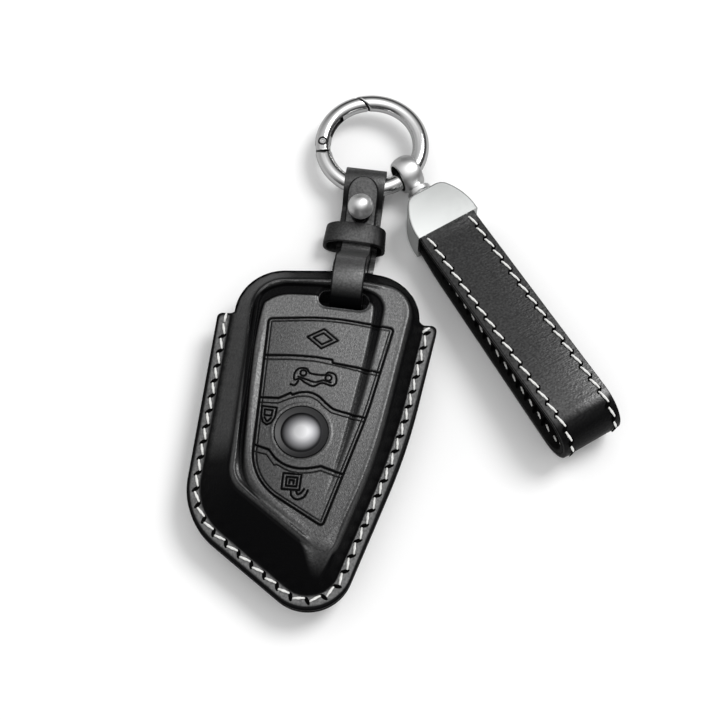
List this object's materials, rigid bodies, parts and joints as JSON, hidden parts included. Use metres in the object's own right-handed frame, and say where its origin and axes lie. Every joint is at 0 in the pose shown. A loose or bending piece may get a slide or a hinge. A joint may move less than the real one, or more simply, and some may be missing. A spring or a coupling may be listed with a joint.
{
  "type": "key fob cover",
  "caption": "Moulded black leather key fob cover with a buttoned strap, a spring-gate ring and a swivelling leather wrist loop.",
  "frame": {"origin": "on the rear shell's flat back, near the middle of the case", "axes": "+Y from the case's tip to its mouth, strap and ring; +Z out of the front face; +X to the right seen from the front"},
  "size_m": [0.1025, 0.1417, 0.0194],
  "materials": {
    "black_leather": "fine-grained semi-matte, painted edges",
    "lining_cloth": "short-nap cloth",
    "white_thread": "twisted waxed thread",
    "bright_metal": "polished plating",
    "badge_metal": "satin blank disc",
    "pin_steel": "drawn wire"
  },
  "bodies": {
    "case": {"front_shell": "black_leather", "rear_shell": "black_leather", "front_lining": "lining_cloth", "rear_lining": "lining_cloth", "badge_disc": "badge_metal", "case_stitching": "white_thread"},
    "strap": {"connector_strap": "black_leather", "stud_knob": "bright_metal", "stud_screw": "bright_metal"},
    "keeper": {"strap_keeper": "black_leather"},
    "ring": {"ring_body": "bright_metal"},
    "gate": {"ring_gate": "bright_metal", "gate_pin": "pin_steel", "gate_spring": "pin_steel"},
    "eye": {"swivel_eye": "bright_metal"},
    "wrist": {"end_cap": "bright_metal", "wrist_outer": "black_leather", "wrist_lining": "black_leather", "wrist_stitching": "white_thread"}
  },
  "joints": [
    {"name": "strap_swing", "type": "hinge", "parent": "case", "child": "strap", "pos_m": [0.0052, 0.0356, 0.012], "axis": [1, 0, 0], "range_deg": [0, 80]},
    {"name": "keeper_slide", "type": "slide", "parent": "strap", "child": "keeper", "axis": [0, 1, 0], "range_m": [-0.0006, 0.0004]},
    {"name": "ring_flip", "type": "hinge", "parent": "strap", "child": "ring", "pos_m": [0.0052, 0.06733, 0.0056], "axis": [1, 0, 0], "range_deg": [-60, 60]},
    {"name": "gate_open", "type": "hinge", "parent": "ring", "child": "gate", "pos_m": [-0.00753, 0.07824, 0.0056], "axis": [0, 0, -1], "range_deg": [0, 30], "stiffness_Nm_per_rad": 0.02},
    {"name": "eye_run", "type": "hinge", "parent": "ring", "child": "eye", "pos_m": [0.0054, 0.0796, 0.0056], "axis": [0, 0, 1], "range_deg": [0, 90]},
    {"name": "wrist_swivel", "type": "hinge", "parent": "eye", "child": "wrist", "pos_m": [0.01576, 0.07234, 0.0056], "axis": [0.6157, -0.788, 0], "continuous": true}
  ]
}
